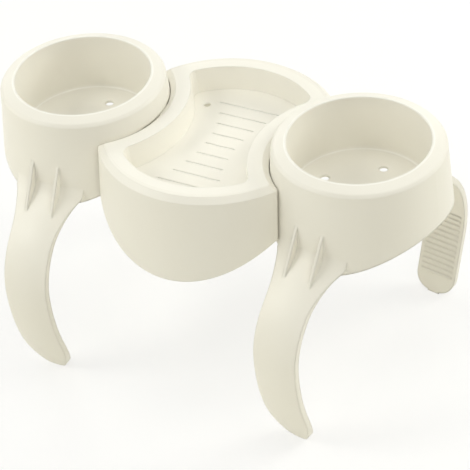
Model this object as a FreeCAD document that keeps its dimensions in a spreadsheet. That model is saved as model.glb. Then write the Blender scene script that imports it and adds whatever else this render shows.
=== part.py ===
# Drinks tray that stands astride the wall of an inflatable hot tub: two cup holders on claw
# legs, and a snack tray hooked between them. Lengths in millimetres, angles in degrees.
# X runs from the left holder to the right one, Y from the front legs to the rear legs, Z up
# from the surface that the four leg tips stand on.
import FreeCAD, Part
import math
import os
import Sketcher
from FreeCAD import Placement, Rotation, Vector

os.makedirs("parts", exist_ok=True)
rim_height = 228             # height of the cup rims above the leg tips
cup_spacing = 237.3          # distance between the axes of the two cups
turn = -9.8                  # turn of the right holder about its own axis

bore_r = 54                  # inside radius of a cup
cup_depth = 49.4             # depth of a cup from the rim
cup_floor = 1.8              # thickness of a cup's floor
bore_wall = 2.8              # thickness of a cup's inner wall
floor_bevel = 1.6            # bevel between a cup's wall and floor
lip_bevel = 0.8              # bevel of the rim's inner edge
rim_r = 65.6                 # outside radius of the rim
rim_fall = 3.9               # fall of the rim from its inner to its outer edge
rim_thick = 3.9              # height of the rim at the inner wall
shoulder_bevel = 1.7         # bevel between the rim and the outer wall
wall_lean = 5.2              # lean of the outer wall
outer_wall = 2.8             # thickness of the outer wall, measured level
skirt_depth = 73             # depth of the outer wall below the rim plane at front and back
arch_depth = 52.6            # depth of the outer wall below the rim plane at the sides
arch_r = 120                 # radius of the arch that cuts the outer wall's lower edge
drain_r = 3.4                # radius of the drain holes
drain_ring = 32.4            # radius of the circle of drain holes

root_r = 69.1                # distance of a leg's outer face from the cup axis where it leaves the wall
root_half = 30               # half width of a leg at its root
root_rise = 1.5              # height of a leg's root above the level where it leaves the wall
bend_r = 20                  # radius of the bend where a leg leaves the wall

front_bend = 50.7            # depth at which the front leg leaves the wall
front_slope = 38.3           # slope of the front leg's shoulder
front_knee = 65.9            # radius of the front leg's knee
front_reach = 123.9          # largest distance of the front leg from the cup axis
front_shin = 178.7           # radius of the front leg below the knee
front_thick = 7.6            # thickness of the front leg at its middle
front_half = 19              # half width of the front leg
front_flare_level = 135      # level at which the front leg starts to widen upwards
front_flare_r = 34           # radius of that widening
front_tip_level = 38         # level at which the front leg starts to narrow downwards
front_tip_r = 73             # radius of that narrowing
front_toe_round = 7          # corner radius of the front leg's tip

rear_bend = 46.5             # depth at which the rear leg leaves the wall
rear_slope = 47.3            # slope of the rear leg's shoulder
rear_knee = 74.2             # radius of the rear leg's knee
rear_reach = 132.3           # largest distance of the rear leg from the cup axis
rear_lean = 16.8             # lean of the rear leg below the knee
rear_thick = 7.6             # thickness of the rear leg at its middle
rear_half = 18               # half width of the rear leg
rear_flare_level = 133       # level at which the rear leg starts to widen upwards
rear_flare_r = 34            # radius of that widening
rear_toe_round = 14.0        # corner radius of the rear leg's end
foot_half = 5.5              # half width of the foot under the rear leg
foot_height = 1.1            # height of that foot

fin_place = 11.3             # distance of a fin from the middle of its leg
fin_thick = 2.8              # thickness of a fin
fin_top = 39.5               # depth of a fin's top below the rim plane
fin_run = 16                 # length of a fin along the leg's shoulder

rib_count = 13               # number of grip ribs on the rear leg
rib_pitch = 4.6              # distance between the grip ribs
rib_width = 1.8              # width of a grip rib
rib_height = 0.9             # height of a grip rib
rib_margin = 3.2             # distance between the ribs' ends and the leg's edge
rib_level = 17.0             # level of the lowest grip rib

tray_drop = 18               # depth of the tray's rim below the cup rims
tray_r = 91                  # radius of the tray's front and back walls below the bevel
tray_shift = 5               # distance of those radii's centres from the tray's middle
tray_lean = 4.5              # lean of the tray's front and back walls
notch_gap = 0.6              # gap between the tray and a cup holder's outer wall
tray_wall = 2.8              # thickness of the tray's walls
bevel_run = 4.7              # width of the bevel round the tray's rim
bevel_drop = 4               # height of that bevel
tray_corner = 1.4            # bevel of the corners of the tray's plan
apron_depth = 94             # depth of the tray's lowest point below the rim plane
apron_r = 113                # radius of the tray's lower edge
recess_rim = 11.7            # width of the flat rim round the recess
recess_depth = 21            # depth of the recess
recess_draft = 4             # lean of the recess's walls
recess_corner = 4.4          # bevel of the corners of the recess's plan
recess_corner_edge = 1.6     # bevel of that bevel's edges
recess_floor = 2.0           # thickness of the recess's floor
slit_count = 9               # number of slits in the recess's floor
slit_pitch = 13.3            # distance between the slits
slit_width = 1.3             # width of a slit
slit_deep = 0.7              # depth of a slit
slit_margin = 21.8           # distance of the slits' ends from the recess's bitten edges
tray_drain_r = 2.8           # radius of the drain holes in the recess
tray_drain_x = 35            # distance of those holes from the middle, side to side
tray_drain_y = 46.5          # distance of those holes from the middle, front to back

hook_angle = 17              # angle that a hook of the tray spans about its cup's axis
hook_level = 33              # depth of the hooks' seats below the rim plane
hook_thick = 3               # thickness of a hook
hook_drop = 7                # length of a hook's turned-down end
hook_end = 2.6               # thickness of a hook's turned-down end
hook_play = 1                # play between a hook's end and the wall that it grips
swing = 11                   # turn of a holder that its window allows each way
window_play = 1              # height of a window beyond what the hook needs to pass

# every number named above goes on the sheet, under its own name
S = {name: float(value) for name, value in list(globals().items()) if isinstance(value, (int, float))}
doc = FreeCAD.newDocument("hot_tub_tray")
sheet = doc.addObject("Spreadsheet::Sheet", "sizes")
for row, name in enumerate(S, 1):
    sheet.set("A%d" % row, name)
    sheet.set("B%d" % row, repr(S[name]))
    sheet.setAlias("B%d" % row, name)
doc.recompute()


def plane(body, role):
    """Finds one of a body's own origin planes."""
    return [f for f in body.Origin.OriginFeatures if f.Role == role][0]


def sketch(body, name, role, level=None, value=0.0):
    """Adds a sketch on an origin plane, raised by an expression over the sheet."""
    sk = body.newObject("Sketcher::SketchObject", name)
    sk.AttachmentSupport = [(plane(body, role), "")]
    sk.MapMode = "FlatFace"
    if level:
        sk.AttachmentOffset = Placement(Vector(0, 0, value), Rotation())
        sk.setExpression("AttachmentOffset.Base.z", level)
    return sk


def line(sk, a, b):
    return sk.addGeometry(Part.LineSegment(Vector(a[0], a[1], 0), Vector(b[0], b[1], 0)), False)


def arc(sk, centre, radius, first, last):
    """Adds an arc that runs anticlockwise between two angles in degrees."""
    circle = Part.Circle(Vector(centre[0], centre[1], 0), Vector(0, 0, 1), radius)
    return sk.addGeometry(Part.ArcOfCircle(circle, math.radians(first), math.radians(last)), False)


def join(sk, one, end, other, start):
    sk.addConstraint(Sketcher.Constraint("Coincident", one, end, other, start))


def flow(sk, one, end, other, start):
    """Joins two ends so that they run into each other without a corner."""
    sk.addConstraint(Sketcher.Constraint("Tangent", one, end, other, start))


def dim(sk, kind, args, name, formula):
    """Adds a dimension and ties it to the sheet."""
    index = sk.addConstraint(Sketcher.Constraint(kind, *args))
    sk.renameConstraint(index, name)
    sk.setExpression("Constraints." + name, formula)


def at_x(sk, geo, pos, value, name, formula):
    """Dimensions a point's distance from the sketch's upright axis, on whichever side it lies."""
    args = (-1, 1, geo, pos, value) if value >= 0 else (geo, pos, -1, 1, -value)
    dim(sk, "DistanceX", args, name, formula)


def at_y(sk, geo, pos, value, name, formula):
    """Dimensions a point's distance from the sketch's level axis, on whichever side it lies."""
    args = (-1, 1, geo, pos, value) if value >= 0 else (geo, pos, -1, 1, -value)
    dim(sk, "DistanceY", args, name, formula)


def solved(sk):
    left = sk.solve()
    if left != 0:
        raise RuntimeError("sketch %s does not solve: %s" % (sk.Name, left))


def feature(body, kind, name, profile):
    """Adds a feature made from a profile and returns it."""
    made = body.newObject("PartDesign::" + kind, name)
    made.Profile = profile
    return made


def checked(item, grows=None, base=None):
    """Recomputes, then makes sure that a feature is whole and changed its body as it should."""
    doc.recompute()
    if item.Shape.isNull() or not item.Shape.isValid() or "Invalid" in item.State:
        raise RuntimeError("feature %s failed: %s" % (item.Name, item.State))
    if base is not None:
        change = item.Shape.Volume - base
        if (change > 0) != grows or abs(change) < 1:
            raise RuntimeError("feature %s changed the volume by %.1f" % (item.Name, change))
    return item.Shape.Volume


TOP = S["rim_height"]
LEAN = math.tan(math.radians(S["wall_lean"]))
# the legs reach further at the back, so the pieces lie a little forward of their own origins
MIDDLE = (S["front_reach"] - S["rear_reach"]) / 2
MIDDLE_F = "(sizes.front_reach - sizes.rear_reach) / 2"


def wall_radius(depth):
    """Radius of a holder's outer wall at a depth below the corner of its rim."""
    return S["rim_r"] + depth * LEAN


def leg_path(body, name, side, part):
    """Side view of a leg's outer face, from the wall down to below the ground."""
    root = S["root_r"]
    bend = S["bend_r"]
    slope = math.radians(S[part + "_slope"])
    knee = S[part + "_knee"]
    reach = S[part + "_reach"]
    high = TOP - S[part + "_bend"] + S["root_rise"]
    low = TOP - S[part + "_bend"]
    turn = 90 - S[part + "_slope"]
    end_y = root + bend * (1 - math.sin(slope))
    end_z = low - bend * math.cos(slope)
    knee_y = reach - knee * (1 - math.sin(slope))
    knee_z = end_z - (knee_y - end_y) * math.tan(slope)
    axis_z = knee_z - knee * math.cos(slope)
    below = -6.0
    sk = sketch(body, name, "YZ_Plane")
    first = line(sk, (side * root, high), (side * root, low))
    if side < 0:
        curve = arc(sk, (-(root + bend), low), bend, -turn, 0)
        near, far = 2, 1
    else:
        curve = arc(sk, (root + bend, low), bend, 180, 180 + turn)
        near, far = 1, 2
    run = line(sk, (side * end_y, end_z), (side * knee_y, knee_z))
    sk.addConstraint(Sketcher.Constraint("Vertical", first))
    at_x(sk, first, 1, side * root, "root", "sizes.root_r")
    at_y(sk, first, 1, high, "high", "sizes.rim_height - sizes.%s_bend + sizes.root_rise" % part)
    at_y(sk, first, 2, low, "low", "sizes.rim_height - sizes.%s_bend" % part)
    flow(sk, first, 2, curve, near)
    flow(sk, curve, far, run, 1)
    dim(sk, "Radius", (curve, bend), "bend", "sizes.bend_r")
    if side < 0:
        bow = arc(sk, (-(reach - knee), axis_z), knee, 90 + S[part + "_slope"], 180)
        flow(sk, run, 2, bow, 1)
        shin = S[part + "_shin"]
        drop = math.degrees(math.asin((axis_z - below) / shin))
        last = arc(sk, (-(reach - shin), axis_z), shin, 180, 180 + drop)
        flow(sk, bow, 2, last, 1)
        dim(sk, "Radius", (bow, knee), "knee", "sizes.%s_knee" % part)
        dim(sk, "Radius", (last, shin), "shin", "sizes.%s_shin" % part)
        at_x(sk, bow, 2, -reach, "reach", "sizes.%s_reach" % part)
        sk.addConstraint(Sketcher.Constraint("Horizontal", bow, 3, last, 3))
        dim(sk, "Angle", (run, math.radians(180 + S[part + "_slope"])), "slope",
            "180 + sizes.%s_slope" % part)
    else:
        lean = S[part + "_lean"]
        bow = arc(sk, (reach - knee, axis_z), knee, -lean, 90 - S[part + "_slope"])
        flow(sk, run, 2, bow, 2)
        off = math.radians(lean)
        low_y = reach - knee * (1 - math.cos(off))
        low_z = axis_z - knee * math.sin(off)
        last = line(sk, (low_y, low_z), (low_y - (low_z - below) * math.tan(off), below))
        flow(sk, bow, 1, last, 1)
        dim(sk, "Radius", (bow, knee), "knee", "sizes.%s_knee" % part)
        at_x(sk, bow, 3, reach - knee, "axis", "sizes.%s_reach - sizes.%s_knee" % (part, part))
        dim(sk, "Angle", (run, math.radians(-S[part + "_slope"])), "slope",
            "-sizes.%s_slope" % part)
        dim(sk, "Angle", (last, math.radians(-90 - lean)), "lean",
            "-90 - sizes.%s_lean" % part)
    at_y(sk, last, 2, below, "below", "6")
    solved(sk)
    return sk


def leg_section(body, name, side, part):
    """Plan of a leg's section at its root: bowed in front like the wall that it leaves and flat
    behind, with wings that keep the bow's thickness where the root is wider than the leg."""
    sk = sketch(body, name, "XY_Plane", "sizes.rim_height - sizes.%s_bend + sizes.root_rise" % part,
                TOP - S[part + "_bend"] + S["root_rise"])
    outer = S["root_r"]
    wide = S["root_half"] + 1
    half = S[part + "_half"]
    in_y = side * (outer - S[part + "_thick"])
    out_y = side * math.sqrt(outer ** 2 - wide ** 2)
    wing_y = out_y - side * math.sqrt(outer ** 2 - half ** 2) + in_y
    inner_f = "sizes.root_r - sizes.%s_thick" % part
    wide_f = "sizes.root_half + 1"
    wing_f = ("sqrt(sizes.root_r ^ 2 - (sizes.root_half + 1) ^ 2)"
              " - sqrt(sizes.root_r ^ 2 - sizes.%s_half ^ 2) + %s" % (part, inner_f))
    rise = math.degrees(math.asin(wide / outer))
    front = arc(sk, (0, 0), outer, 90 * side - rise, 90 * side + rise)
    left = line(sk, (-wide, out_y), (-wide, wing_y))
    left_wing = line(sk, (-wide, wing_y), (-half, in_y))
    back = line(sk, (-half, in_y), (half, in_y))
    right_wing = line(sk, (half, in_y), (wide, wing_y))
    right = line(sk, (wide, wing_y), (wide, out_y))
    west, east = (1, 2) if side < 0 else (2, 1)
    join(sk, front, west, left, 1)
    join(sk, left, 2, left_wing, 1)
    join(sk, left_wing, 2, back, 1)
    join(sk, back, 2, right_wing, 1)
    join(sk, right_wing, 2, right, 1)
    join(sk, right, 2, front, east)
    sk.addConstraint(Sketcher.Constraint("Coincident", front, 3, -1, 1))
    sk.addConstraint(Sketcher.Constraint("Vertical", left))
    sk.addConstraint(Sketcher.Constraint("Vertical", right))
    sk.addConstraint(Sketcher.Constraint("Horizontal", back))
    dim(sk, "Radius", (front, outer), "outer", "sizes.root_r")
    at_x(sk, left, 1, -wide, "west", wide_f)
    at_x(sk, right, 2, wide, "east", wide_f)
    at_x(sk, back, 1, -half, "back_west", "sizes.%s_half" % part)
    at_x(sk, back, 2, half, "back_east", "sizes.%s_half" % part)
    at_y(sk, back, 1, in_y, "inner", inner_f)
    at_y(sk, left_wing, 1, wing_y, "wing_west", wing_f)
    at_y(sk, right_wing, 2, wing_y, "wing_east", wing_f)
    solved(sk)
    return sk


def leg_outline(body, name, part):
    """Front view of all that is cut away beside a leg, on its right."""
    half = S[part + "_half"]
    wide = S["root_half"] + 0.0
    flare = S[part + "_flare_r"]
    level = S[part + "_flare_level"]
    roof = TOP
    edge = 60.0
    floor = -12.0
    reach = math.degrees(math.acos((half + flare - wide) / flare))
    meet = level + flare * math.sin(math.radians(reach))
    sk = sketch(body, name, "XZ_Plane")
    if part == "front":
        tip = S["front_tip_r"]
        tip_level = S["front_tip_level"]
        toe = S["front_toe_round"]
        span = tip - toe
        down = math.asin((tip_level - toe) / span)
        toe_x = half - tip + span * math.cos(down)
        low = line(sk, (0, 0), (toe_x, 0))
        corner = arc(sk, (toe_x, toe), toe, -90, -math.degrees(down))
        side = arc(sk, (half - tip, tip_level), tip, -math.degrees(down), 0)
        upright = line(sk, (half, tip_level), (half, level))
        flow(sk, low, 2, corner, 1)
        flow(sk, corner, 2, side, 1)
        flow(sk, side, 2, upright, 1)
        dim(sk, "Radius", (corner, toe), "toe", "sizes.front_toe_round")
        dim(sk, "Radius", (side, tip), "tip", "sizes.front_tip_r")
        at_y(sk, side, 3, tip_level, "tip_level", "sizes.front_tip_level")
    else:
        toe = S["rear_toe_round"]
        foot = S["foot_half"]
        lift = S["foot_height"]
        rise = S["rear_toe_round"] + lift
        low = line(sk, (0, 0), (foot, 0))
        step = line(sk, (foot, 0), (foot, lift))
        sole = line(sk, (foot, lift), (half - toe, lift))
        corner = arc(sk, (half - toe, rise), toe, -90, 0)
        upright = line(sk, (half, rise), (half, level))
        join(sk, low, 2, step, 1)
        join(sk, step, 2, sole, 1)
        flow(sk, sole, 2, corner, 1)
        flow(sk, corner, 2, upright, 1)
        sk.addConstraint(Sketcher.Constraint("Vertical", step))
        sk.addConstraint(Sketcher.Constraint("Horizontal", sole))
        at_x(sk, step, 1, foot, "foot", "sizes.foot_half")
        at_y(sk, step, 2, lift, "lift", "sizes.foot_height")
        dim(sk, "Radius", (corner, toe), "toe", "sizes.rear_toe_round")
    curve = arc(sk, (half + flare, level), flare, 180 - reach, 180)
    post = line(sk, (wide, meet), (wide, roof))
    over = line(sk, (wide, roof), (edge, roof))
    far = line(sk, (edge, roof), (edge, floor))
    under = line(sk, (edge, floor), (0, floor))
    back = line(sk, (0, floor), (0, 0))
    flow(sk, upright, 2, curve, 2)
    join(sk, curve, 1, post, 1)
    join(sk, post, 2, over, 1)
    join(sk, over, 2, far, 1)
    join(sk, far, 2, under, 1)
    join(sk, under, 2, back, 1)
    join(sk, back, 2, low, 1)
    sk.addConstraint(Sketcher.Constraint("Coincident", low, 1, -1, 1))
    for item in (low, over, under):
        sk.addConstraint(Sketcher.Constraint("Horizontal", item))
    for item in (upright, post, far, back):
        sk.addConstraint(Sketcher.Constraint("Vertical", item))
    at_x(sk, upright, 2, half, "half", "sizes.%s_half" % part)
    at_y(sk, upright, 2, level, "level", "sizes.%s_flare_level" % part)
    dim(sk, "Radius", (curve, flare), "flare", "sizes.%s_flare_r" % part)
    at_x(sk, post, 1, wide, "wide", "sizes.root_half")
    at_y(sk, post, 2, roof, "roof", "sizes.rim_height")
    at_x(sk, far, 1, edge, "edge", "2 * sizes.root_half")
    at_y(sk, far, 2, floor, "floor", "12")
    solved(sk)
    return sk


def add_leg(body, side, part):
    """Sweeps one leg and trims it to its outline."""
    grown = body.Tip.Shape.Volume if body.Tip else None
    path = leg_path(body, part + "_path", side, part)
    section = leg_section(body, part + "_section", side, part)
    doc.recompute()
    pipe = body.newObject("PartDesign::AdditivePipe", part + "_leg")
    pipe.Profile = section
    pipe.Spine = (path, [])
    volume = checked(pipe, True, grown if grown else 0.0)
    outline = leg_outline(body, part + "_outline", part)
    trim = feature(body, "Pocket", part + "_trim", outline)
    trim.Type = "ThroughAll"
    trim.Reversed = side < 0
    volume = checked(trim, False, volume)
    return mirrored(body, trim, "YZ_Plane", volume, False)


def shape(sk, corners):
    """Draws a closed polygon; each corner is (x, x formula, y, y formula)."""
    count = len(corners)
    sides = []
    for i in range(count):
        a = corners[i]
        b = corners[(i + 1) % count]
        sides.append(line(sk, (a[0], a[2]), (b[0], b[2])))
    for i in range(count):
        join(sk, sides[i], 2, sides[(i + 1) % count], 1)
    for i in range(count):
        x, x_formula, y, y_formula = corners[i]
        if x == 0:
            sk.addConstraint(Sketcher.Constraint("PointOnObject", sides[i], 1, -2))
        else:
            at_x(sk, sides[i], 1, x, "x%d" % i, x_formula)
        at_y(sk, sides[i], 1, y, "y%d" % i, y_formula)
    solved(sk)
    return sk


def rings(body, radius, level):
    """Names the round edges of a body's newest feature that have this radius and level."""
    found = []
    for i, edge in enumerate(body.Tip.Shape.Edges):
        curve = edge.Curve
        if not isinstance(curve, Part.Circle):
            continue
        if abs(curve.Radius - radius) < 0.01 and abs(curve.Center.z - level) < 0.01:
            found.append("Edge%d" % (i + 1))
    if not found:
        raise RuntimeError("no round edge of radius %.2f at level %.2f" % (radius, level))
    return found


def add_ribs(body):
    """Grip ribs across the inner face of the rear leg: a thin skin along it, cut into bars."""
    before = body.Tip.Shape.Volume
    path = leg_path(body, "rib_path", 1, "rear")
    sk = sketch(body, "rib_section", "XY_Plane", "sizes.rim_height - sizes.rear_bend + sizes.root_rise",
                TOP - S["rear_bend"] + S["root_rise"])
    half = S["rear_half"] - S["rib_margin"]
    face = S["root_r"] - S["rear_thick"]
    wide = "sizes.rear_half - sizes.rib_margin"
    inner = "sizes.root_r - sizes.rear_thick"
    shape(sk, [(-half, wide, face - S["rib_height"], inner + " - sizes.rib_height"),
               (half, wide, face - S["rib_height"], inner + " - sizes.rib_height"),
               (half, wide, face + 1, inner + " + 1"),
               (-half, wide, face + 1, inner + " + 1")])
    doc.recompute()
    skin = body.newObject("PartDesign::AdditivePipe", "rib_skin")
    skin.Profile = sk
    skin.Spine = (path, [])
    volume = checked(skin, True, before)
    low = S["rib_level"]
    count = S["rib_count"]
    high = low + (count - 1) * S["rib_pitch"] + S["rib_width"]
    near = S["root_r"] - S["rear_thick"] - 12
    near_f = "sizes.root_r - sizes.rear_thick - 12"
    far = S["rear_reach"] + 20
    far_f = "sizes.rear_reach + 20"
    high_f = "sizes.rib_level + (sizes.rib_count - 1) * sizes.rib_pitch + sizes.rib_width"
    ends = sketch(body, "rib_ends", "YZ_Plane")
    shape(ends, [(near, near_f, -20.0, "20"), (far, far_f, -20.0, "20"),
                 (far, far_f, low, "sizes.rib_level"), (near, near_f, low, "sizes.rib_level")])
    cut = feature(body, "Pocket", "rib_low_end", ends)
    cut.Type = "ThroughAll"
    cut.Midplane = True
    volume = checked(cut, False, volume)
    tops = sketch(body, "rib_tops", "YZ_Plane")
    shape(tops, [(near, near_f, high, high_f), (far, far_f, high, high_f),
                 (far, far_f, TOP, "sizes.rim_height"), (near, near_f, TOP, "sizes.rim_height")])
    cut = feature(body, "Pocket", "rib_high_end", tops)
    cut.Type = "ThroughAll"
    cut.Midplane = True
    volume = checked(cut, False, volume)
    gap_low = low + S["rib_width"]
    gap_high = low + S["rib_pitch"]
    gap = sketch(body, "rib_gap", "YZ_Plane")
    low_f = "sizes.rib_level + sizes.rib_width"
    top_f = "sizes.rib_level + sizes.rib_pitch"
    shape(gap, [(near, near_f, gap_low, low_f), (far, far_f, gap_low, low_f),
                (far, far_f, gap_high, top_f), (near, near_f, gap_high, top_f)])
    cut = feature(body, "Pocket", "rib_gap_cut", gap)
    cut.Type = "ThroughAll"
    cut.Midplane = True
    volume = checked(cut, False, volume)
    row = body.newObject("PartDesign::LinearPattern", "rib_gaps")
    row.Originals = [cut]
    row.Direction = (gap, ["V_Axis"])
    row.Occurrences = int(count - 1)
    row.Length = (count - 2) * S["rib_pitch"]
    row.setExpression("Occurrences", "sizes.rib_count - 1")
    row.setExpression("Length", "(sizes.rib_count - 2) * sizes.rib_pitch")
    body.Tip = row
    return checked(row, False, volume)


def add_fins(body, side, part):
    """Two thin three-cornered fins that brace a leg's shoulder against the wall."""
    volume = body.Tip.Shape.Volume
    slope = math.radians(S[part + "_slope"])
    up = "sin(sizes.%s_slope * 1 deg)" % part
    level = "cos(sizes.%s_slope * 1 deg)" % part
    end_y = S["root_r"] + S["bend_r"] * (1 - math.sin(slope))
    end_z = TOP - S[part + "_bend"] - S["bend_r"] * math.cos(slope)
    end_y_f = "(sizes.root_r + sizes.bend_r * (1 - %s))" % up
    end_z_f = "(sizes.rim_height - sizes.%s_bend - sizes.bend_r * %s)" % (part, level)
    off = S["fin_place"] + S["fin_thick"] / 2
    bow = S["root_r"] - math.sqrt(S["root_r"] ** 2 - off ** 2)
    bow_f = ("(sizes.root_r - sqrt(sizes.root_r ^ 2"
             " - (sizes.fin_place + sizes.fin_thick / 2) ^ 2))")
    run = S["fin_run"]
    half = S[part + "_thick"] / 2
    half_f = "sizes.%s_thick / 2" % part
    sk = sketch(body, part + "_fin_side", "YZ_Plane", "sizes.fin_place - sizes.fin_thick / 2",
                S["fin_place"] - S["fin_thick"] / 2)
    tip_y = end_y + run * math.cos(slope) - bow * math.sin(slope)
    tip_z = end_z - run * math.sin(slope) - bow * math.cos(slope)
    heel_y = end_y - half * math.sin(slope)
    heel_z = end_z - half * math.cos(slope)
    inside = S["root_r"] - bow - S["outer_wall"] / 4
    inside_f = "sizes.root_r - %s - sizes.outer_wall / 4" % bow_f
    shape(sk, [(side * inside, inside_f, TOP - S["fin_top"], "sizes.rim_height - sizes.fin_top"),
               (side * tip_y, "%s + sizes.fin_run * %s - %s * %s" % (end_y_f, level, bow_f, up),
                tip_z, "%s - sizes.fin_run * %s - %s * %s" % (end_z_f, up, bow_f, level)),
               (side * heel_y, "%s - %s * %s" % (end_y_f, half_f, up),
                heel_z, "%s - %s * %s" % (end_z_f, half_f, level)),
               (side * inside, inside_f, TOP - S[part + "_bend"],
                "sizes.rim_height - sizes.%s_bend" % part)])
    pad = feature(body, "Pad", part + "_fin", sk)
    pad.Length = S["fin_thick"]
    pad.setExpression("Length", "sizes.fin_thick")
    volume = checked(pad, True, volume)
    return mirrored(body, pad, "YZ_Plane", volume, True)


def holder(name, toward):
    """One cup holder in its own frame: origin on the cup's axis, at the level of the leg tips."""
    body = doc.addObject("PartDesign::Body", name)
    body.Label = name
    add_leg(body, -1, "front")
    add_ribs(body)
    volume = add_leg(body, 1, "rear")
    corner = S["rim_fall"]
    low = S["skirt_depth"]
    floor_z = TOP - S["cup_depth"]
    base_z = floor_z - S["cup_floor"]
    low_r = wall_radius(low - corner)
    low_f = "sizes.rim_r + (sizes.skirt_depth - sizes.rim_fall) * tan(sizes.wall_lean * 1 deg)"
    z_low = TOP - low
    z_low_f = "sizes.rim_height - sizes.skirt_depth"
    half = S["outer_wall"] / 2
    # what the legs' roots have inside the wall goes first, so that the wall stays hollow
    roots = sketch(body, "root_cut", "XZ_Plane")
    shape(roots, [(0, "0", z_low - 10, z_low_f + " - 10"),
                  (low_r - half, low_f + " - sizes.outer_wall / 2", z_low - 10, z_low_f + " - 10"),
                  (low_r - half, low_f + " - sizes.outer_wall / 2", z_low, z_low_f),
                  (S["rim_r"] - half, "sizes.rim_r - sizes.outer_wall / 2", TOP - corner,
                   "sizes.rim_height - sizes.rim_fall"),
                  (0, "0", TOP - corner, "sizes.rim_height - sizes.rim_fall")])
    cut = feature(body, "Groove", "root_groove", roots)
    cut.ReferenceAxis = (roots, ["V_Axis"])
    cut.Angle = 360
    volume = checked(cut, False, volume)
    under_z = TOP - S["rim_thick"] - S["rim_fall"] * (
        (S["rim_r"] - S["outer_wall"] - S["bore_r"] - S["bore_wall"]) / (S["rim_r"] - S["bore_r"]))
    under_f = ("sizes.rim_height - sizes.rim_thick - sizes.rim_fall * (sizes.rim_r"
               " - sizes.outer_wall - sizes.bore_r - sizes.bore_wall) / (sizes.rim_r - sizes.bore_r)")
    under_r = S["rim_r"] - S["outer_wall"] + (TOP - under_z - corner) * LEAN
    under_r_f = ("sizes.rim_r - sizes.outer_wall + (sizes.rim_height - (%s) - sizes.rim_fall)"
                 " * tan(sizes.wall_lean * 1 deg)" % under_f)
    wall = sketch(body, "cup_profile", "XZ_Plane")
    outside = S["bore_r"] + S["bore_wall"]
    outside_f = "sizes.bore_r + sizes.bore_wall"
    floor_f = "sizes.rim_height - sizes.cup_depth"
    base_f = floor_f + " - sizes.cup_floor"
    shape(wall, [(0, "0", base_z, base_f),
                 (outside, outside_f, base_z, base_f),
                 (outside, outside_f, TOP - S["rim_thick"], "sizes.rim_height - sizes.rim_thick"),
                 (under_r, under_r_f, under_z, under_f),
                 (low_r - S["outer_wall"], low_f + " - sizes.outer_wall", z_low, z_low_f),
                 (low_r, low_f, z_low, z_low_f),
                 (S["rim_r"], "sizes.rim_r", TOP - corner, "sizes.rim_height - sizes.rim_fall"),
                 (S["bore_r"], "sizes.bore_r", TOP, "sizes.rim_height"),
                 (S["bore_r"], "sizes.bore_r", floor_z, floor_f),
                 (0, "0", floor_z, floor_f)])
    turned = feature(body, "Revolution", "cup_and_wall", wall)
    turned.ReferenceAxis = (wall, ["V_Axis"])
    turned.Angle = 360
    volume = checked(turned, True, volume)
    for part, radius, level in (("floor", S["bore_r"], floor_z), ("lip", S["bore_r"], TOP),
                                ("shoulder", S["rim_r"], TOP - corner)):
        edges = rings(body, radius, level)
        soft = body.newObject("PartDesign::Chamfer", part + "_soft")
        soft.Base = (before_tip(body, soft), edges)
        soft.Size = S[part + "_bevel"]
        soft.setExpression("Size", "sizes.%s_bevel" % part)
        volume = checked(soft, part == "floor", volume)
    arch = sketch(body, "arch_side", "YZ_Plane")
    radius = S["arch_r"]
    span = wall_radius(S["skirt_depth"] - corner) + 6
    span_f = low_f + " + 6"
    crown = TOP - S["arch_depth"]
    centre = crown - radius
    meet = centre + math.sqrt(radius ** 2 - span ** 2)
    rise = math.degrees(math.asin(span / radius))
    bow = arc(arch, (0, centre), radius, 90 - rise, 90 + rise)
    deep = crown - 60
    down = line(arch, (-span, meet), (-span, deep))
    flat = line(arch, (-span, deep), (span, deep))
    rise_line = line(arch, (span, deep), (span, meet))
    join(arch, bow, 2, down, 1)
    join(arch, down, 2, flat, 1)
    join(arch, flat, 2, rise_line, 1)
    join(arch, rise_line, 2, bow, 1)
    arch.addConstraint(Sketcher.Constraint("PointOnObject", bow, 3, -2))
    arch.addConstraint(Sketcher.Constraint("Vertical", down))
    arch.addConstraint(Sketcher.Constraint("Vertical", rise_line))
    arch.addConstraint(Sketcher.Constraint("Horizontal", flat))
    dim(arch, "Radius", (bow, radius), "radius", "sizes.arch_r")
    at_y(arch, bow, 3, centre, "centre", "sizes.rim_height - sizes.arch_depth - sizes.arch_r")
    at_x(arch, down, 1, -span, "west", span_f)
    at_x(arch, rise_line, 2, span, "east", span_f)
    at_y(arch, flat, 1, deep, "deep", "sizes.rim_height - sizes.arch_depth - 60")
    solved(arch)
    cut = feature(body, "Pocket", "arch", arch)
    cut.Type = "ThroughAll"
    cut.Midplane = True
    volume = checked(cut, False, volume)
    add_fins(body, -1, "front")
    volume = add_fins(body, 1, "rear")
    drains = sketch(body, "drain_place", "XY_Plane", floor_f, floor_z)
    circle = drains.addGeometry(Part.Circle(Vector(S["drain_ring"], 0, 0), Vector(0, 0, 1),
                                            S["drain_r"]), False)
    drains.addConstraint(Sketcher.Constraint("PointOnObject", circle, 3, -1))
    dim(drains, "Radius", (circle, S["drain_r"]), "radius", "sizes.drain_r")
    at_x(drains, circle, 3, S["drain_ring"], "ring", "sizes.drain_ring")
    solved(drains)
    hole = feature(body, "Pocket", "drain_hole", drains)
    hole.Type = "Length"
    hole.Midplane = True
    hole.Length = 2 * S["cup_floor"] + 2
    hole.setExpression("Length", "2 * sizes.cup_floor + 2")
    volume = checked(hole, False, volume)
    ring = body.newObject("PartDesign::PolarPattern", "drain_holes")
    ring.Originals = [hole]
    ring.Axis = (drains, ["N_Axis"])
    ring.Angle = 360
    ring.Occurrences = 4
    body.Tip = ring
    volume = checked(ring, False, volume)
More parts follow.
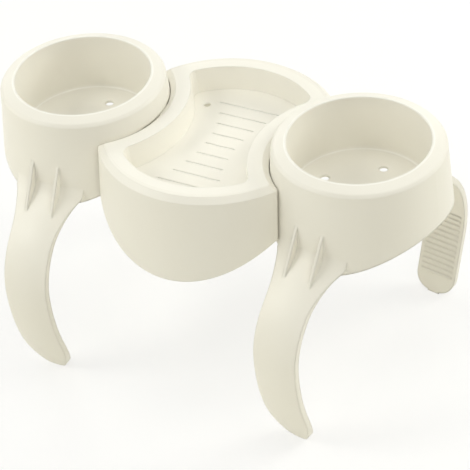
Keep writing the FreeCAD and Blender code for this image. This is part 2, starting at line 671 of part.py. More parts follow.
    # the window that a hook of the tray reaches through
    seat = TOP - S["hook_level"]
    seat_f = "sizes.rim_height - sizes.hook_level"
    head = seat + S["hook_thick"] + S["hook_drop"] + S["window_play"]
    head_f = seat_f + " + sizes.hook_thick + sizes.hook_drop + sizes.window_play"
    near = S["bore_r"] + S["bore_wall"] + 3
    near_f = "sizes.bore_r + sizes.bore_wall + 3"
    far = low_r + 5
    far_f = low_f + " + 5"
    window = sketch(body, "window_profile", "XZ_Plane")
    shape(window, [(toward * near, near_f, seat, seat_f), (toward * far, far_f, seat, seat_f),
                   (toward * far, far_f, head, head_f), (toward * near, near_f, head, head_f)])
    cut = feature(body, "Groove", "window", window)
    cut.ReferenceAxis = (window, ["V_Axis"])
    cut.Angle = S["hook_angle"] + 2 * S["swing"]
    cut.Midplane = True
    cut.setExpression("Angle", "sizes.hook_angle + 2 * sizes.swing")
    volume = checked(cut, False, volume)
    body.Placement = Placement(Vector(-toward * S["cup_spacing"] / 2, MIDDLE, 0),
                               Rotation(Vector(0, 0, 1), S["turn"] if toward < 0 else 0))
    body.setExpression("Placement.Base.x", "%d * sizes.cup_spacing / 2" % -toward)
    body.setExpression("Placement.Base.y", MIDDLE_F)
    if toward < 0:
        body.setExpression("Placement.Rotation.Angle", "sizes.turn")
    return body


def before_tip(body, new):
    """The feature that a body ended with before the newest one."""
    solids = [f for f in body.Group if f.isDerivedFrom("PartDesign::Feature") and f != new]
    return solids[-1]


def pole(sk, x, formula):
    """Adds an upright line to turn a profile about."""
    item = sk.addGeometry(Part.LineSegment(Vector(x, 0, 0), Vector(x, TOP, 0)), True)
    sk.addConstraint(Sketcher.Constraint("Vertical", item))
    sk.addConstraint(Sketcher.Constraint("PointOnObject", item, 1, -1))
    dim(sk, "DistanceX", (-1, 1, item, 1, x), "pole", formula)
    dim(sk, "DistanceY", (item, 1, item, 2, TOP), "pole_top", "sizes.rim_height")


def mirrored(body, item, role, volume, grows):
    """Repeats a feature on the far side of one of the body's own planes."""
    other = body.newObject("PartDesign::Mirrored", item.Name + "_mirrored")
    other.Originals = [item]
    other.MirrorPlane = (plane(body, role), [""])
    body.Tip = other
    return checked(other, grows, volume)


def bow_tie(name, levels, bevels=()):
    """A body shaped like the tray's plan: turned about a front axis and a back axis, then bitten
    by a turned cut about each cup's axis. A level is z, radius and bite, each with its formula.
    The first bevel goes on the four corners, a second one on the edges that the first one leaves."""
    body = doc.addObject("PartDesign::Body", name)
    axis = S["cup_spacing"] / 2
    axis_f = "sizes.cup_spacing / 2"
    side = sketch(body, name + "_side", "XZ_Plane", "sizes.tray_shift", S["tray_shift"])
    low, low_f = levels[0][:2]
    high, high_f = levels[-1][:2]
    walls = [(r, r_f, z, z_f) for z, z_f, r, r_f, bite, bite_f in levels]
    shape(side, [(0, "0", low, low_f)] + walls + [(0, "0", high, high_f)])
    turned = feature(body, "Revolution", name + "_front", side)
    turned.ReferenceAxis = (side, ["V_Axis"])
    turned.Angle = 360
    volume = checked(turned, True, 0.0)
    volume = mirrored(body, turned, "XZ_Plane", volume, True)
    bites = sketch(body, name + "_bite_side", "XZ_Plane")
    edge = [(axis + bite, "%s + %s" % (axis_f, bite_f), z, z_f)
            for z, z_f, r, r_f, bite, bite_f in levels]
    under = (edge[0][0], edge[0][1], low - 1, low_f + " - 1")
    over = (edge[-1][0], edge[-1][1], high + 1, high_f + " + 1")
    shape(bites, [(axis, axis_f, low - 1, low_f + " - 1"), under] + edge
          + [over, (axis, axis_f, high + 1, high_f + " + 1")])
    pole(bites, axis, axis_f)
    solved(bites)
    cut = feature(body, "Groove", name + "_bite", bites)
    cut.ReferenceAxis = (bites, ["Axis0"])
    cut.Angle = 360
    volume = checked(cut, False, volume)
    volume = mirrored(body, cut, "YZ_Plane", volume, False)
    for i, bevel in enumerate(bevels):
        soft = body.newObject("PartDesign::Chamfer", "%s_corners_%d" % (name, i + 1))
        soft.Base = (before_tip(body, soft), corners(before_tip(body, soft).Shape))
        soft.Size = S[bevel]
        soft.setExpression("Size", "sizes." + bevel)
        volume = checked(soft, False, volume)
    return body


def corners(solid):
    """Names the edges where the front and back walls meet the bites."""
    found = []
    for i, edge in enumerate(solid.Edges):
        box = edge.BoundBox
        if isinstance(edge.Curve, (Part.Circle, Part.Line)) or min(abs(box.YMin), abs(box.YMax)) < 10:
            continue
        if box.ZLength > 0.1:
            found.append("Edge%d" % (i + 1))
    if len(found) % 4 or not found:
        raise RuntimeError("found %d corner edges" % len(found))
    return found


def joined(kind, name, parts):
    """A boolean of whole bodies."""
    made = doc.addObject("Part::" + kind, name)
    if kind == "Cut":
        made.Base, made.Tool = parts
    else:
        made.Shapes = parts
    made.Refine = True
    doc.recompute()
    if made.Shape.isNull() or not made.Shape.isValid():
        raise RuntimeError("%s failed" % name)
    return made


def snack_tray():
    """The tray between the holders, in its own frame: origin midway between the cups' axes."""
    top = TOP - S["tray_drop"]
    top_f = "sizes.rim_height - sizes.tray_drop"
    brim = top - S["bevel_drop"]
    brim_f = top_f + " - sizes.bevel_drop"
    low = TOP - S["apron_depth"]
    low_f = "sizes.rim_height - sizes.apron_depth"
    lean = math.tan(math.radians(S["tray_lean"]))
    low_r = S["tray_r"] + (brim - low) * lean
    low_r_f = ("sizes.tray_r + (sizes.apron_depth - sizes.tray_drop - sizes.bevel_drop)"
               " * tan(sizes.tray_lean * 1 deg)")
    # the bites follow the holders' leaning walls at a steady gap
    brim_n = wall_radius(S["tray_drop"] + S["bevel_drop"] - S["rim_fall"]) + S["notch_gap"]
    brim_n_f = ("sizes.rim_r + (sizes.tray_drop + sizes.bevel_drop - sizes.rim_fall)"
                " * tan(sizes.wall_lean * 1 deg) + sizes.notch_gap")
    low_n = wall_radius(S["apron_depth"] - S["rim_fall"]) + S["notch_gap"]
    low_n_f = ("sizes.rim_r + (sizes.apron_depth - sizes.rim_fall)"
               " * tan(sizes.wall_lean * 1 deg) + sizes.notch_gap")
    run = S["bevel_run"]
    outside = bow_tie("tray_outside", [
        (low, low_f, low_r, low_r_f, low_n, low_n_f),
        (brim, brim_f, S["tray_r"], "sizes.tray_r", brim_n, brim_n_f),
        (top, top_f, S["tray_r"] - run, "sizes.tray_r - sizes.bevel_run",
         brim_n + run, brim_n_f + " + sizes.bevel_run")], ["tray_corner"])
    wall = S["tray_wall"]
    under = low - 1
    under_f = low_f + " - 1"
    hollow = bow_tie("tray_hollow", [
        (under, under_f, low_r + lean - wall,
         low_r_f + " + tan(sizes.tray_lean * 1 deg) - sizes.tray_wall",
         low_n + LEAN + wall, low_n_f + " + tan(sizes.wall_lean * 1 deg) + sizes.tray_wall"),
        (brim, brim_f, S["tray_r"] - wall, "sizes.tray_r - sizes.tray_wall",
         brim_n + wall, brim_n_f + " + sizes.tray_wall")])
    # the recess, and the block that leaves it walls of even thickness
    deep = S["recess_depth"]
    draft = math.tan(math.radians(S["recess_draft"]))
    edge_r = S["tray_r"] - run - S["recess_rim"]
    edge_r_f = "sizes.tray_r - sizes.bevel_run - sizes.recess_rim"
    edge_n = brim_n + run + S["recess_rim"]
    edge_n_f = brim_n_f + " + sizes.bevel_run + sizes.recess_rim"
    slope_f = " * tan(sizes.recess_draft * 1 deg)"
    sink = S["bevel_drop"] / 2
    base = deep + S["recess_floor"]
    base_f = "(sizes.recess_depth + sizes.recess_floor)"
    block = bow_tie("recess_block", [
        (top - base, top_f + " - sizes.recess_depth - sizes.recess_floor",
         edge_r + wall - base * draft, edge_r_f + " + sizes.tray_wall - " + base_f + slope_f,
         edge_n - wall + base * draft, edge_n_f + " - sizes.tray_wall + " + base_f + slope_f),
        (top - sink, top_f + " - sizes.bevel_drop / 2",
         edge_r + wall - sink * draft,
         edge_r_f + " + sizes.tray_wall - sizes.bevel_drop / 2" + slope_f,
         edge_n - wall + sink * draft,
         edge_n_f + " - sizes.tray_wall + sizes.bevel_drop / 2" + slope_f)])
    recess = bow_tie("recess", [
        (top - deep, top_f + " - sizes.recess_depth",
         edge_r - deep * draft, edge_r_f + " - sizes.recess_depth" + slope_f,
         edge_n + deep * draft, edge_n_f + " + sizes.recess_depth" + slope_f),
        (top, top_f, edge_r, edge_r_f, edge_n, edge_n_f)], ["recess_corner", "recess_corner_edge"])
    shell = joined("Cut", "tray_shell", [outside, hollow])
    whole = joined("MultiFuse", "tray_whole", [shell, block, tray_hooks()])
    tools = joined("MultiFuse", "tray_cutters", [recess, apron_cutter(low_r, low_r_f), slits(),
                                                 tray_drains()])
    return joined("Cut", "snack_tray", [whole, tools])


def tray_drains():
    """Two round bars that cut the drain holes in the recess's floor."""
    body = doc.addObject("PartDesign::Body", "tray_drains")
    level = TOP - S["tray_drop"] - S["recess_depth"]
    level_f = "sizes.rim_height - sizes.tray_drop - sizes.recess_depth"
    place = sketch(body, "tray_drain_place", "XY_Plane", level_f, level)
    circle = place.addGeometry(Part.Circle(Vector(-S["tray_drain_x"], S["tray_drain_y"], 0),
                                           Vector(0, 0, 1), S["tray_drain_r"]), False)
    dim(place, "Radius", (circle, S["tray_drain_r"]), "radius", "sizes.tray_drain_r")
    at_x(place, circle, 3, -S["tray_drain_x"], "aside", "sizes.tray_drain_x")
    at_y(place, circle, 3, S["tray_drain_y"], "behind", "sizes.tray_drain_y")
    solved(place)
    bar = feature(body, "Pad", "tray_drain", place)
    bar.Midplane = True
    bar.Length = 3 * S["recess_floor"]
    bar.setExpression("Length", "3 * sizes.recess_floor")
    volume = checked(bar, True, 0.0)
    mirrored(body, bar, "YZ_Plane", volume, True)
    return body


def apron_cutter(low_r, low_r_f):
    """What is cut away below the apron's arched lower edge."""
    body = doc.addObject("PartDesign::Body", "apron_cutter")
    hull = sketch(body, "apron_front", "XZ_Plane")
    radius = S["apron_r"]
    bottom_z = TOP - S["apron_depth"]
    centre = bottom_z + radius
    span = low_r + 4
    span_f = low_r_f + " + 4"
    meet = centre - math.sqrt(radius ** 2 - span ** 2)
    swing = math.degrees(math.asin(span / radius))
    bow = arc(hull, (0, centre), radius, 270 - swing, 270 + swing)
    deep_z = bottom_z - 30
    west = line(hull, (-span, meet), (-span, deep_z))
    flat = line(hull, (-span, deep_z), (span, deep_z))
    east = line(hull, (span, deep_z), (span, meet))
    join(hull, bow, 1, west, 1)
    join(hull, west, 2, flat, 1)
    join(hull, flat, 2, east, 1)
    join(hull, east, 2, bow, 2)
    hull.addConstraint(Sketcher.Constraint("PointOnObject", bow, 3, -2))
    hull.addConstraint(Sketcher.Constraint("Vertical", west))
    hull.addConstraint(Sketcher.Constraint("Vertical", east))
    hull.addConstraint(Sketcher.Constraint("Horizontal", flat))
    dim(hull, "Radius", (bow, radius), "radius", "sizes.apron_r")
    at_y(hull, bow, 3, centre, "centre", "sizes.rim_height - sizes.apron_depth + sizes.apron_r")
    at_x(hull, west, 1, -span, "west", span_f)
    at_x(hull, east, 2, span, "east", span_f)
    at_y(hull, flat, 1, deep_z, "deep", "sizes.rim_height - sizes.apron_depth - 30")
    solved(hull)
    pad = feature(body, "Pad", "apron_edge", hull)
    pad.Midplane = True
    pad.Length = 3 * S["tray_r"]
    pad.setExpression("Length", "3 * sizes.tray_r")
    checked(pad, True, 0.0)
    return body


def tray_hooks():
    """A hook for each bite: a tongue about the cup's axis with its end turned down."""
    body = doc.addObject("PartDesign::Body", "tray_hooks")
    wall = S["tray_wall"]
    seat = TOP - S["hook_level"]
    seat_f = "sizes.rim_height - sizes.hook_level"
    axis = S["cup_spacing"] / 2
    axis_f = "sizes.cup_spacing / 2"
    seat_wall = wall_radius(S["hook_level"] - S["rim_fall"])
    seat_wall_f = ("sizes.rim_r + (sizes.hook_level - sizes.rim_fall)"
                   " * tan(sizes.wall_lean * 1 deg)")
    grip = seat_wall - S["outer_wall"] - S["hook_play"]
    grip_f = "(%s - sizes.outer_wall - sizes.hook_play)" % seat_wall_f
    inner = grip - S["hook_end"]
    inner_f = "(%s - sizes.hook_end)" % grip_f
    root = seat_wall + S["notch_gap"] + wall / 2
    root_f = "(%s + sizes.notch_gap + sizes.tray_wall / 2)" % seat_wall_f
    head = seat + S["hook_thick"]
    head_f = seat_f + " + sizes.hook_thick"
    tip = seat - S["hook_drop"]
    tip_f = seat_f + " - sizes.hook_drop"
    hook = sketch(body, "hook_profile", "XZ_Plane")
    shape(hook, [(axis - inner, "%s - %s" % (axis_f, inner_f), head, head_f),
                 (axis - root, "%s - %s" % (axis_f, root_f), head, head_f),
                 (axis - root, "%s - %s" % (axis_f, root_f), seat, seat_f),
                 (axis - grip, "%s - %s" % (axis_f, grip_f), seat, seat_f),
                 (axis - grip, "%s - %s" % (axis_f, grip_f), tip, tip_f),
                 (axis - inner, "%s - %s" % (axis_f, inner_f), tip, tip_f)])
    pole(hook, axis, axis_f)
    solved(hook)
    made = feature(body, "Revolution", "hook", hook)
    made.ReferenceAxis = (hook, ["Axis0"])
    made.Angle = S["hook_angle"]
    made.Midplane = True
    made.setExpression("Angle", "sizes.hook_angle")
    volume = checked(made, True, 0.0)
    mirrored(body, made, "YZ_Plane", volume, True)
    return body


def slits():
    """Bars that cut the slits: a row of equal bars, shortened by two circles about the cups."""
    body = doc.addObject("PartDesign::Body", "slit_bars")
    floor_z = TOP - S["tray_drop"] - S["recess_depth"]
    floor_f = "sizes.rim_height - sizes.tray_drop - sizes.recess_depth"
    count = S["slit_count"]
    pitch = S["slit_pitch"]
    half = S["slit_width"] / 2
    first = -(count - 1) / 2 * pitch
    first_f = "(sizes.slit_count - 1) / 2 * sizes.slit_pitch"
    reach = S["cup_spacing"] / 2
    bar = sketch(body, "slit_bar", "XY_Plane", floor_f, floor_z)
    shape(bar, [(-reach, "sizes.cup_spacing / 2", first - half, first_f + " + sizes.slit_width / 2"),
                (reach, "sizes.cup_spacing / 2", first - half, first_f + " + sizes.slit_width / 2"),
                (reach, "sizes.cup_spacing / 2", first + half, first_f + " - sizes.slit_width / 2"),
                (-reach, "sizes.cup_spacing / 2", first + half, first_f + " - sizes.slit_width / 2")])
    pad = feature(body, "Pad", "slit", bar)
    pad.Midplane = True
    pad.Length = 2 * S["slit_deep"]
    pad.setExpression("Length", "2 * sizes.slit_deep")
    volume = checked(pad, True, 0.0)
    row = body.newObject("PartDesign::LinearPattern", "slit_row")
    row.Originals = [pad]
    row.Direction = (bar, ["V_Axis"])
    row.Occurrences = int(count)
    row.Length = (count - 1) * pitch
    row.setExpression("Occurrences", "sizes.slit_count")
    row.setExpression("Length", "(sizes.slit_count - 1) * sizes.slit_pitch")
    body.Tip = row
    volume = checked(row, True, volume)
    edge = (wall_radius(S["tray_drop"] + S["bevel_drop"] - S["rim_fall"]) + S["notch_gap"]
            + S["bevel_run"] + S["recess_rim"] + S["slit_margin"])
    edge_f = ("sizes.rim_r + (sizes.tray_drop + sizes.bevel_drop - sizes.rim_fall)"
              " * tan(sizes.wall_lean * 1 deg) + sizes.notch_gap + sizes.bevel_run"
              " + sizes.recess_rim + sizes.slit_margin")
    ends = sketch(body, "slit_ends", "XY_Plane", floor_f, floor_z)
    for name, x in (("east", reach), ("west", -reach)):
        circle = ends.addGeometry(Part.Circle(Vector(x, 0, 0), Vector(0, 0, 1), edge), False)
        ends.addConstraint(Sketcher.Constraint("PointOnObject", circle, 3, -1))
        at_x(ends, circle, 3, x, name, "sizes.cup_spacing / 2")
        dim(ends, "Radius", (circle, edge), name + "_r", edge_f)
    solved(ends)
    cut = feature(body, "Pocket", "slit_limits", ends)
    cut.Type = "ThroughAll"
    cut.Midplane = True
    checked(cut, False, volume)
    return body


left = holder("left_cup_holder", 1)
right = holder("right_cup_holder", -1)
tray = snack_tray()
tray.Label = "snack_tray"
tray.Placement = Placement(Vector(0, MIDDLE, 0), Rotation())
tray.setExpression("Placement.Base.y", MIDDLE_F)
doc.recompute()
for item in doc.Objects:
    if "Invalid" in item.State or "Error" in item.State:
        raise RuntimeError("object %s is not sound: %s" % (item.Name, item.State))
for node in (left, tray, right):
    if node.Shape.isNull() or not node.Shape.isValid() or len(node.Shape.Solids) != 1:
        raise RuntimeError("%s is not one sound solid" % node.Label)
    node.Shape.exportStep("parts/%s.step" % node.Label)
    print(node.Label, round(node.Shape.Volume / 1000.0, 1), "cubic centimetres")
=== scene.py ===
# Looks of the drinks tray that stands astride the wall of a hot tub: ivory moulded plastic, a white
# floor and soft studio light. Lengths in metres.
import math

import bpy
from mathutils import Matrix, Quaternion, Vector

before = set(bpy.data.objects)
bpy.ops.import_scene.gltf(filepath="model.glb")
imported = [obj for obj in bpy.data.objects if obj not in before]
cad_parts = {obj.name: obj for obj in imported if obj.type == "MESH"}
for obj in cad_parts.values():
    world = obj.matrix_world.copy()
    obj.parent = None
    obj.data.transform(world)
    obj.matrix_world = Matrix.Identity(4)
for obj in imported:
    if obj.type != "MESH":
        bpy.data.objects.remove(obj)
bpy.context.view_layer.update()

scene = bpy.context.scene

# Colours are linear. The plastic drifts between the first two, and PALE is where it catches the light.
IVORY = (0.872, 0.852, 0.785)
IVORY_DEEP = (0.850, 0.820, 0.742)
PALE = (0.965, 0.955, 0.905)

# The studio's colours: plain white, the light of most lamps, the light of the two warmer ones, and
# what the floor throws back on the object.
WHITE = (1.0, 1.0, 1.0)
LAMP = (1.0, 0.997, 0.920)
WARM = (1.0, 0.975, 0.850)
BOUNCE = (0.93, 0.912, 0.825)

# The camera sees the tray from the front right, above the rims. Lens and sensor are in millimetres.
EYE = Vector((0.57114, -0.99646, 1.02833))
AIM = Vector((0.01771, -0.02376, 0.12))
ROLL = math.radians(-5.0)
LENS = 139.65
SENSOR = 36.0
FARTHEST = 50.0

# Noise in the skin: scale, detail and roughness of the soft clouds, the flecks and the mould's grain.
CLOUD = (18.0, 3.0, 0.55)
FLECK = (420.0, 2.0, 0.55)
GRAIN = (2200.0, 2.0, 0.7)

# The deep tone starts to show where clouds and flecks together pass DRIFT_LOW, and at DRIFT_HIGH it
# has its full share, DRIFT_MOST. CLOUD_SHARE of that sum is clouds.
CLOUD_SHARE = 0.75
DRIFT_LOW = 0.30
DRIFT_HIGH = 0.72
DRIFT_MOST = 0.55

# Gloss of the plastic and how much it varies, and the depth and strength of the grain.
ROUGHNESS = 0.46
SPREAD = 0.12
REFRACTION = 1.49
GRAIN_DEPTH = 0.00003
GRAIN_STRENGTH = 0.35

# How round the edges of each node look, and the samples that soften them.
EDGE = {"left_cup_holder": 0.0024, "snack_tray": 0.0012, "right_cup_holder": 0.0024}
EDGE_SAMPLES = 6

# The upright axes of the cups and of the tray's recess, each at level 0.
AXIS = {"left_cup_holder": (-0.11865, -0.0042, 0.0), "snack_tray": (0.0, -0.0042, 0.0),
        "right_cup_holder": (0.11865, -0.0042, 0.0)}

# The tray's recess, where light is painted on: its reach from the axis, the levels of its brim, its
# floor and its slits' bottoms, how much painted light pales it, and how much more its slits, to lift
# their shade.
RECESS_REACH = 0.088
RECESS_BRIM = 0.2140
RECESS_FLOOR = 0.1890
SLIT_BOTTOM = 0.1883
RECESS_PALE = 0.2
SLIT_PALE = 0.8

# The cups: radius of the bore, levels of the lip and the floor, height of the bevels, width of the
# lip's bevel, and how strong the painted highlights are on the bevels at the lip and round the floor.
BORE_R = 0.054
LIP_LEVEL = 0.2277
CUP_FLOOR = 0.1783
BEVEL = 0.0013
LIP_BAND = 0.0022
LIP_PALE = 0.7
FLOOR_PALE = 0.5

# Margins that keep a mask off the faces next to it.
MARGIN = 0.0001
SLIT_MARGIN = 0.0005

# The level of the sky's light, and the floor: the share of it that looks plain white, without
# shadow, half the length of its side, and its level.
SKY_LEVEL = 0.25
FLOOR_PLAIN = 0.62
FLOOR_HALF = 6.0
FLOOR_LEVEL = -0.0002

# The lamps face one point. Each has its place, power, width and colour.
LAMPS_AIM = Vector((0.0, 0.0, 0.13))
LAMPS = {
    "key": ((-1.05, -0.95, 1.25), 6.8, 0.5, LAMP),
    "left": ((-1.3, -0.5, 1.2), 3.4, 0.9, LAMP),
    "low_left": ((-1.6, -0.5, 0.35), 4.8, 0.9, WARM),
    "front_right": ((1.0, -1.3, 0.9), 5.6, 0.9, WARM),
    "back_right": ((1.2, 1.1, 1.0), 12.9, 0.9, LAMP),
    "back": ((0.0, 1.7, 0.8), 3.6, 0.9, LAMP),
    "back_left": ((-1.2, 1.1, 1.0), 5.5, 0.9, LAMP),
    "top": ((0.0, 0.2, 1.8), 3.8, 0.9, LAMP),
    "top_right": ((0.8, -0.1, 1.6), 4.5, 0.9, LAMP),
}


# Helpers for node trees

def lit(colour):
    """A colour as a shader socket takes it, with nothing see-through."""
    return (*colour, 1.0)


def feed(tree, socket, term):
    """Link another node's output to a socket, or set the socket to a plain value."""
    if isinstance(term, bpy.types.NodeSocket):
        tree.links.new(term, socket)
    else:
        socket.default_value = term


def maths(tree, operation, *terms, clamp=False):
    """One sum of numbers or outputs."""
    node = tree.nodes.new("ShaderNodeMath")
    node.operation = operation
    node.use_clamp = clamp
    for socket, term in zip(node.inputs, terms):
        feed(tree, socket, term)
    return node.outputs[0]


def product(tree, first, *others):
    """All the terms multiplied. Masks are 0 or 1, so this is where all of them hold."""
    for other in others:
        first = maths(tree, "MULTIPLY", first, other)
    return first


def noise(tree, place, scale, detail, rough):
    """Cloudy noise at a place: its value runs from 0 to 1 about 0.5."""
    node = tree.nodes.new("ShaderNodeTexNoise")
    for name, term in (("Vector", place), ("Scale", scale), ("Detail", detail), ("Roughness", rough)):
        feed(tree, node.inputs[name], term)
    return node.outputs["Fac"]


def blend(tree, share, first, second):
    """The first colour where share is 0, the second where it is 1, and a mix between."""
    node = tree.nodes.new("ShaderNodeMix")
    node.data_type = "RGBA"
    for name, term in (("Factor", share), ("A", first), ("B", second)):
        feed(tree, node.inputs[name], term)
    return node.outputs["Result"]


def round_axis(tree, place, axis):
    """A place as seen from an upright axis: its distance from the axis, and its level."""
    flat = tree.nodes.new("ShaderNodeVectorMath")
    flat.operation = "MULTIPLY"
    feed(tree, flat.inputs[0], place)
    feed(tree, flat.inputs[1], (1.0, 1.0, 0.0))
    away = tree.nodes.new("ShaderNodeVectorMath")
    away.operation = "DISTANCE"
    feed(tree, away.inputs[0], flat.outputs["Vector"])
    feed(tree, away.inputs[1], axis)
    split = tree.nodes.new("ShaderNodeSeparateXYZ")
    feed(tree, split.inputs[0], place)
    return away.outputs["Value"], split.outputs["Z"]


def new_group(name, takes, gives):
    """An empty node group with named sockets: the group, what comes into it and what it gives. Each
    input has a name, a kind and a value, and each output a name and a kind."""
    kinds = {"colour": "NodeSocketColor", "value": "NodeSocketFloat", "vector": "NodeSocketVector"}
    group = bpy.data.node_groups.new(name, "ShaderNodeTree")
    for label, kind, value in takes:
        socket = group.interface.new_socket(name=label, in_out="INPUT", socket_type=kinds[kind])
        if value is not None:
            socket.default_value = value
    for label, kind in gives:
        group.interface.new_socket(name=label, in_out="OUTPUT", socket_type=kinds[kind])
    return group, group.nodes.new("NodeGroupInput").outputs, group.nodes.new("NodeGroupOutput").inputs


def place_group(tree, group, takes):
    """A node group placed in a material, with its inputs fed by name: its outputs."""
    node = tree.nodes.new("ShaderNodeGroup")
    node.node_tree = group
    for name, term in takes.items():
        feed(tree, node.inputs[name], term)
    return node.outputs


def seen_plainly(tree):
    """1 where the camera, a reflection or glass sees the surface, and 0 where only light reaches it."""
    path = tree.nodes.new("ShaderNodeLightPath").outputs
    seen = maths(tree, "MAXIMUM", path["Is Camera Ray"], path["Is Glossy Ray"])
    return maths(tree, "MAXIMUM", seen, path["Is Transmission Ray"])


# The ivory plastic

def moulded_skin():
    """Skin of moulded plastic. The colour drifts between two tones in soft clouds with fine flecks,
    and the grain is the mould's own texture. The roughness follows the clouds and the grain:
    roughness + spread * (cloud - 0.5) + spread * (grain - 0.5)."""
    group, takes, gives = new_group(
        "moulded_skin",
        [("Place", "vector", None), ("Tone", "colour", lit(IVORY)),
         ("Deep tone", "colour", lit(IVORY_DEEP)), ("Cloud scale", "value", CLOUD[0]),
         ("Grain scale", "value", GRAIN[0]), ("Roughness", "value", ROUGHNESS),
         ("Spread", "value", SPREAD)],
        [("Colour", "colour"), ("Roughness", "value"), ("Height", "value")])
    cloud = noise(group, takes["Place"], takes["Cloud scale"], *CLOUD[1:])
    fleck = noise(group, takes["Place"], *FLECK)
    grain = noise(group, takes["Place"], takes["Grain scale"], *GRAIN[1:])
    ramp = group.nodes.new("ShaderNodeMapRange")
    feed(group, ramp.inputs["Value"],
         maths(group, "ADD", product(group, cloud, CLOUD_SHARE),
               product(group, fleck, 1.0 - CLOUD_SHARE), clamp=True))
    ramp.inputs["From Min"].default_value = DRIFT_LOW
    ramp.inputs["From Max"].default_value = DRIFT_HIGH
    ramp.inputs["To Max"].default_value = DRIFT_MOST
    feed(group, gives["Colour"],
         blend(group, ramp.outputs["Result"], takes["Tone"], takes["Deep tone"]))
    drift, speck = (product(group, maths(group, "SUBTRACT", part, 0.5), takes["Spread"])
                    for part in (cloud, grain))
    feed(group, gives["Roughness"],
         maths(group, "ADD", maths(group, "ADD", takes["Roughness"], drift), speck, clamp=True))
    feed(group, gives["Height"], grain)
    return group


def painted_light_group(name):
    """A node group that paints light on the plastic, making it paler within a mask about an upright
    axis:
    the group, its inputs and outputs, and the distance from the axis and the level of each place."""
    group, takes, gives = new_group(
        name,
        [("Place", "vector", None), ("Axis", "vector", None), ("Colour", "colour", lit(IVORY)),
         ("Light tone", "colour", lit(PALE))],
        [("Colour", "colour")])
    return group, takes, gives, *round_axis(group, takes["Place"], takes["Axis"])


def recess_painted_light():
    """Painted light: the tray's recess is painted paler, and its slits more so, to lift the shade that
    falls in them. It lies within RECESS_REACH of the axis and between the slits' bottoms and the brim.
    The mask is inside * below brim * above slits' bottoms * (RECESS_PALE + SLIT_PALE * below floor)."""
    group, takes, gives, away, level = painted_light_group("recess_painted_light")
    in_slits = maths(group, "LESS_THAN", level, RECESS_FLOOR - MARGIN)
    mask = product(group, maths(group, "LESS_THAN", away, RECESS_REACH),
                   maths(group, "LESS_THAN", level, RECESS_BRIM),
                   maths(group, "GREATER_THAN", level, SLIT_BOTTOM - SLIT_MARGIN),
                   maths(group, "ADD", RECESS_PALE, product(group, in_slits, SLIT_PALE)))
    feed(group, gives["Colour"], blend(group, mask, takes["Colour"], takes["Light tone"]))
    return group


def cup_shine():
    """The narrow bevels at a cup's lip and round its floor catch the light and look paler. With out =
    distance from the cup's axis - BORE_R, the mask is LIP_PALE * (0 < out < LIP_BAND) * (above the
    foot of the lip's bevel) + FLOOR_PALE * (|out| < BEVEL) * (below the top of the floor's bevel)."""
    group, takes, gives, away, level = painted_light_group("cup_shine")
    out = maths(group, "SUBTRACT", away, BORE_R)
    lip = product(group, maths(group, "GREATER_THAN", out, MARGIN),
                  maths(group, "LESS_THAN", out, LIP_BAND),
                  maths(group, "GREATER_THAN", level, LIP_LEVEL - BEVEL), LIP_PALE)
    low = product(group, maths(group, "LESS_THAN", maths(group, "ABSOLUTE", out), BEVEL),
                  maths(group, "LESS_THAN", level, CUP_FLOOR + BEVEL), FLOOR_PALE)
    mask = maths(group, "ADD", lip, low)
    feed(group, gives["Colour"], blend(group, mask, takes["Colour"], takes["Light tone"]))
    return group


SKIN = moulded_skin()
# Painted light for each node: the tray's recess is painted paler, the cups' bevels get painted
# highlights.
RECESS_LIGHT = recess_painted_light()
SHINE = cup_shine()
PAINTED_LIGHT = {"left_cup_holder": SHINE, "snack_tray": RECESS_LIGHT, "right_cup_holder": SHINE}


def plastic(node):
    """A node's material of moulded plastic: the skin group feeds colour, roughness and a shallow bump,
    over edges that are softened as if they had a radius. The colour goes through the node's painted
    light: the tray's recess is painted paler, a cup's bevels get painted highlights."""
    made = bpy.data.materials.new("ivory_plastic_" + node)
    made.use_nodes = True
    tree = made.node_tree
    shader = tree.nodes["Principled BSDF"]
    place = tree.nodes.new("ShaderNodeTexCoord").outputs["Object"]
    skin = place_group(tree, SKIN, {"Place": place, "Tone": lit(IVORY), "Deep tone": lit(IVORY_DEEP)})
    # The node's painted light: the tray's recess painted paler, or a cup's bevels given painted
    # highlights.
    shade = place_group(tree, PAINTED_LIGHT[node],
                        {"Place": place, "Axis": AXIS[node], "Colour": skin["Colour"]})
    soft = tree.nodes.new("ShaderNodeBevel")
    soft.samples = EDGE_SAMPLES
    soft.inputs["Radius"].default_value = EDGE[node]
    bump = tree.nodes.new("ShaderNodeBump")
    bump.inputs["Strength"].default_value = GRAIN_STRENGTH
    bump.inputs["Distance"].default_value = GRAIN_DEPTH
    feed(tree, bump.inputs["Height"], skin["Height"])
    feed(tree, bump.inputs["Normal"], soft.outputs["Normal"])
    feed(tree, shader.inputs["Base Color"], shade["Colour"])
    feed(tree, shader.inputs["Roughness"], skin["Roughness"])
    feed(tree, shader.inputs["Normal"], bump.outputs["Normal"])
    shader.inputs["IOR"].default_value = REFRACTION
    return made


for node in EDGE:
    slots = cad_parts[node].data.materials
    slots.clear()
    slots.append(plastic(node))


# Floor, world, lights and camera

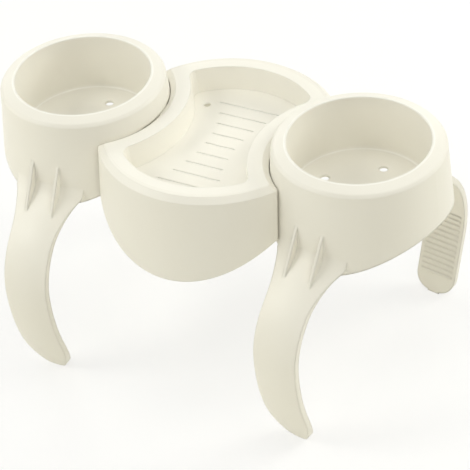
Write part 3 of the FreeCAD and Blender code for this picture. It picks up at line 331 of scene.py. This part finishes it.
def floor_material():
    """White floor: seen by the camera or in a reflection it is mostly plain white, so that only a soft
    share of each shadow stays on it. The light it throws back on the object is a little warm."""
    made = bpy.data.materials.new("studio_floor")
    made.use_nodes = True
    tree = made.node_tree
    tree.nodes.clear()
    out = tree.nodes.new("ShaderNodeOutputMaterial")
    seen = seen_plainly(tree)
    dull = tree.nodes.new("ShaderNodeBsdfDiffuse")
    feed(tree, dull.inputs["Color"], blend(tree, seen, lit(BOUNCE), lit(WHITE)))
    plain = tree.nodes.new("ShaderNodeEmission")
    feed(tree, plain.inputs["Color"], lit(WHITE))
    mix = tree.nodes.new("ShaderNodeMixShader")
    for socket, term in zip(mix.inputs, (product(tree, seen, FLOOR_PLAIN), dull.outputs[0],
                                         plain.outputs[0])):
        feed(tree, socket, term)
    feed(tree, out.inputs["Surface"], mix.outputs[0])
    return made


def studio_floor():
    """A level square about the middle, just under the leg tips."""
    corners = [(x * FLOOR_HALF, y * FLOOR_HALF, FLOOR_LEVEL)
               for x, y in ((-1, -1), (1, -1), (1, 1), (-1, 1))]
    mesh = bpy.data.meshes.new("studio_floor")
    mesh.from_pydata(corners, [], [(0, 1, 2, 3)])
    mesh.materials.append(floor_material())
    floor = bpy.data.objects.new("studio_floor", mesh)
    scene.collection.objects.link(floor)


def white_world():
    """The sky lights the object at its own level and is plain white to the camera and to reflections:
    its strength is SKY_LEVEL + (1 - SKY_LEVEL) * seen."""
    world = bpy.data.worlds.new("studio_sky")
    scene.world = world
    world.use_nodes = True
    tree = world.node_tree
    sky = tree.nodes["Background"]
    feed(tree, sky.inputs["Color"], lit(WHITE))
    feed(tree, sky.inputs["Strength"],
         maths(tree, "ADD", product(tree, seen_plainly(tree), 1.0 - SKY_LEVEL), SKY_LEVEL))


def soft_lamp(name, place, power, width, colour):
    """A square softbox at a place, facing LAMPS_AIM."""
    data = bpy.data.lights.new(name, "AREA")
    data.shape = "SQUARE"
    data.size = width
    data.energy = power
    data.color = colour
    lamp = bpy.data.objects.new(name, data)
    scene.collection.objects.link(lamp)
    lamp.location = place
    lamp.rotation_euler = (LAMPS_AIM - Vector(place)).to_track_quat("-Z", "Y").to_euler()


def photo_camera():
    """The camera stands at EYE and looks at AIM, turned about its own axis by ROLL."""
    data = bpy.data.cameras.new("photo_view")
    data.lens = LENS
    data.sensor_width = SENSOR
    data.clip_end = FARTHEST
    camera = bpy.data.objects.new("photo_view", data)
    scene.collection.objects.link(camera)
    look = (AIM - EYE).to_track_quat("-Z", "Y") @ Quaternion((0, 0, 1), ROLL)
    camera.location = EYE
    camera.rotation_euler = look.to_euler()
    scene.camera = camera


studio_floor()
white_world()
for name, (place, power, width, colour) in LAMPS.items():
    soft_lamp(name, place, power, width, colour)
photo_camera()
scene.view_settings.view_transform = "Standard"
